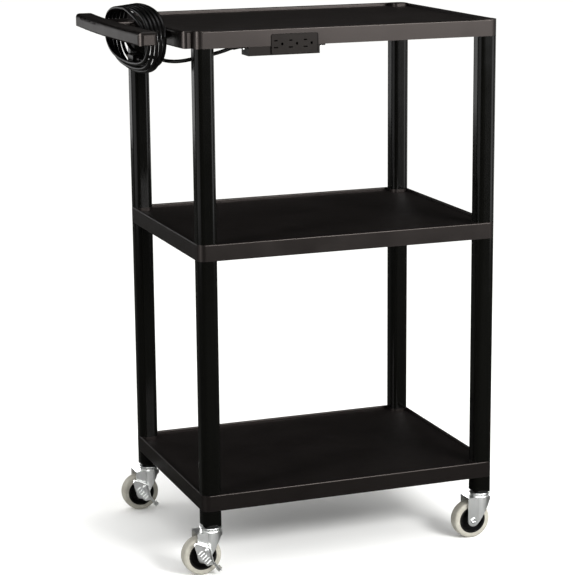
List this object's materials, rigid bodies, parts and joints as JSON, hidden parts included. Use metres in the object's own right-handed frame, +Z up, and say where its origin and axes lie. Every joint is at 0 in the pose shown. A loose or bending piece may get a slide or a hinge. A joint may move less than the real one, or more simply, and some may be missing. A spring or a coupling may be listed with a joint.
{
  "type": "projector cart",
  "caption": "Rolling cart with stacked tray shelves on square posts, a moulded push handle, an outlet strip with its mains lead wound on the handle, and braked swivel casters.",
  "frame": {"origin": "middle of the footprint on the floor, without the lead", "axes": "+Z up, +X along the shelves away from the handle, -Y the front with the outlets"},
  "size_m": [0.725, 0.4694, 1.0769],
  "materials": {
    "shelf_plastic": "satin moulded",
    "post_plastic": "glossy extruded",
    "zinc": "bright zinc plate",
    "ball_steel": "polished",
    "hub_plastic": "satin moulded",
    "tyre_rubber": "matte",
    "outlet_plastic": "satin moulded",
    "brass": "satin",
    "cord_vinyl": "satin"
  },
  "bodies": {
    "frame": {"top_shelf": "shelf_plastic", "middle_shelf": "shelf_plastic", "bottom_shelf": "shelf_plastic", "upper_post_fl": "post_plastic", "upper_post_fr": "post_plastic", "upper_post_br": "post_plastic", "upper_post_bl": "post_plastic", "lower_post_fl": "post_plastic", "lower_post_fr": "post_plastic", "lower_post_br": "post_plastic", "lower_post_bl": "post_plastic", "caster_leg_fl": "post_plastic", "caster_leg_fr": "post_plastic", "caster_leg_br": "post_plastic", "caster_leg_bl": "post_plastic", "stem_fl": "zinc", "stem_fr": "zinc", "stem_br": "zinc", "stem_bl": "zinc", "outlet_housing": "outlet_plastic", "outlet_face": "outlet_plastic", "outlet_contacts": "brass", "outlet_screws": "zinc", "strain_relief": "cord_vinyl", "lead_run": "cord_vinyl", "lead_coil": "cord_vinyl", "lead_tail": "cord_vinyl", "plug_body": "cord_vinyl", "plug_blades": "brass"},
    "caster_fl": {"fork_fl": "zinc", "balls_fl": "ball_steel", "axle_fl": "zinc", "brake_rivet_fl": "zinc"},
    "wheel_fl": {"hub_fl": "hub_plastic", "tyre_fl": "tyre_rubber"},
    "brake_fl": {"brake_lever_fl": "zinc"},
    "caster_fr": {"fork_fr": "zinc", "balls_fr": "ball_steel", "axle_fr": "zinc"},
    "wheel_fr": {"hub_fr": "hub_plastic", "tyre_fr": "tyre_rubber"},
    "caster_br": {"fork_br": "zinc", "balls_br": "ball_steel", "axle_br": "zinc"},
    "wheel_br": {"hub_br": "hub_plastic", "tyre_br": "tyre_rubber"},
    "caster_bl": {"fork_bl": "zinc", "balls_bl": "ball_steel", "axle_bl": "zinc", "brake_rivet_bl": "zinc"},
    "wheel_bl": {"hub_bl": "hub_plastic", "tyre_bl": "tyre_rubber"},
    "brake_bl": {"brake_lever_bl": "zinc"}
  },
  "joints": [
    {"name": "swivel_fl", "type": "hinge", "parent": "frame", "child": "caster_fl", "pos_m": [-0.22875, -0.2046, 0.09], "axis": [0, 0, 1], "continuous": true},
    {"name": "spin_fl", "type": "hinge", "parent": "caster_fl", "child": "wheel_fl", "pos_m": [-0.24925, -0.2046, 0.038], "axis": [0, 1, 0], "continuous": true},
    {"name": "foot_fl", "type": "hinge", "parent": "caster_fl", "child": "brake_fl", "pos_m": [-0.24475, -0.2284, 0.05252], "axis": [0, 1, 0], "range_deg": [0, 6.5]},
    {"name": "swivel_fr", "type": "hinge", "parent": "frame", "child": "caster_fr", "pos_m": [0.34175, -0.2046, 0.09], "axis": [0, 0, 1], "continuous": true},
    {"name": "spin_fr", "type": "hinge", "parent": "caster_fr", "child": "wheel_fr", "pos_m": [0.32125, -0.2046, 0.038], "axis": [0, 1, 0], "continuous": true},
    {"name": "swivel_br", "type": "hinge", "parent": "frame", "child": "caster_br", "pos_m": [0.34175, 0.2135, 0.09], "axis": [0, 0, 1], "continuous": true},
    {"name": "spin_br", "type": "hinge", "parent": "caster_br", "child": "wheel_br", "pos_m": [0.32125, 0.2135, 0.038], "axis": [0, 1, 0], "continuous": true},
    {"name": "swivel_bl", "type": "hinge", "parent": "frame", "child": "caster_bl", "pos_m": [-0.22875, 0.2135, 0.09], "axis": [0, 0, 1], "continuous": true},
    {"name": "spin_bl", "type": "hinge", "parent": "caster_bl", "child": "wheel_bl", "pos_m": [-0.24925, 0.2135, 0.038], "axis": [0, 1, 0], "continuous": true},
    {"name": "foot_bl", "type": "hinge", "parent": "caster_bl", "child": "brake_bl", "pos_m": [-0.24475, 0.1897, 0.05252], "axis": [0, 1, 0], "range_deg": [0, 6.5]}
  ]
}
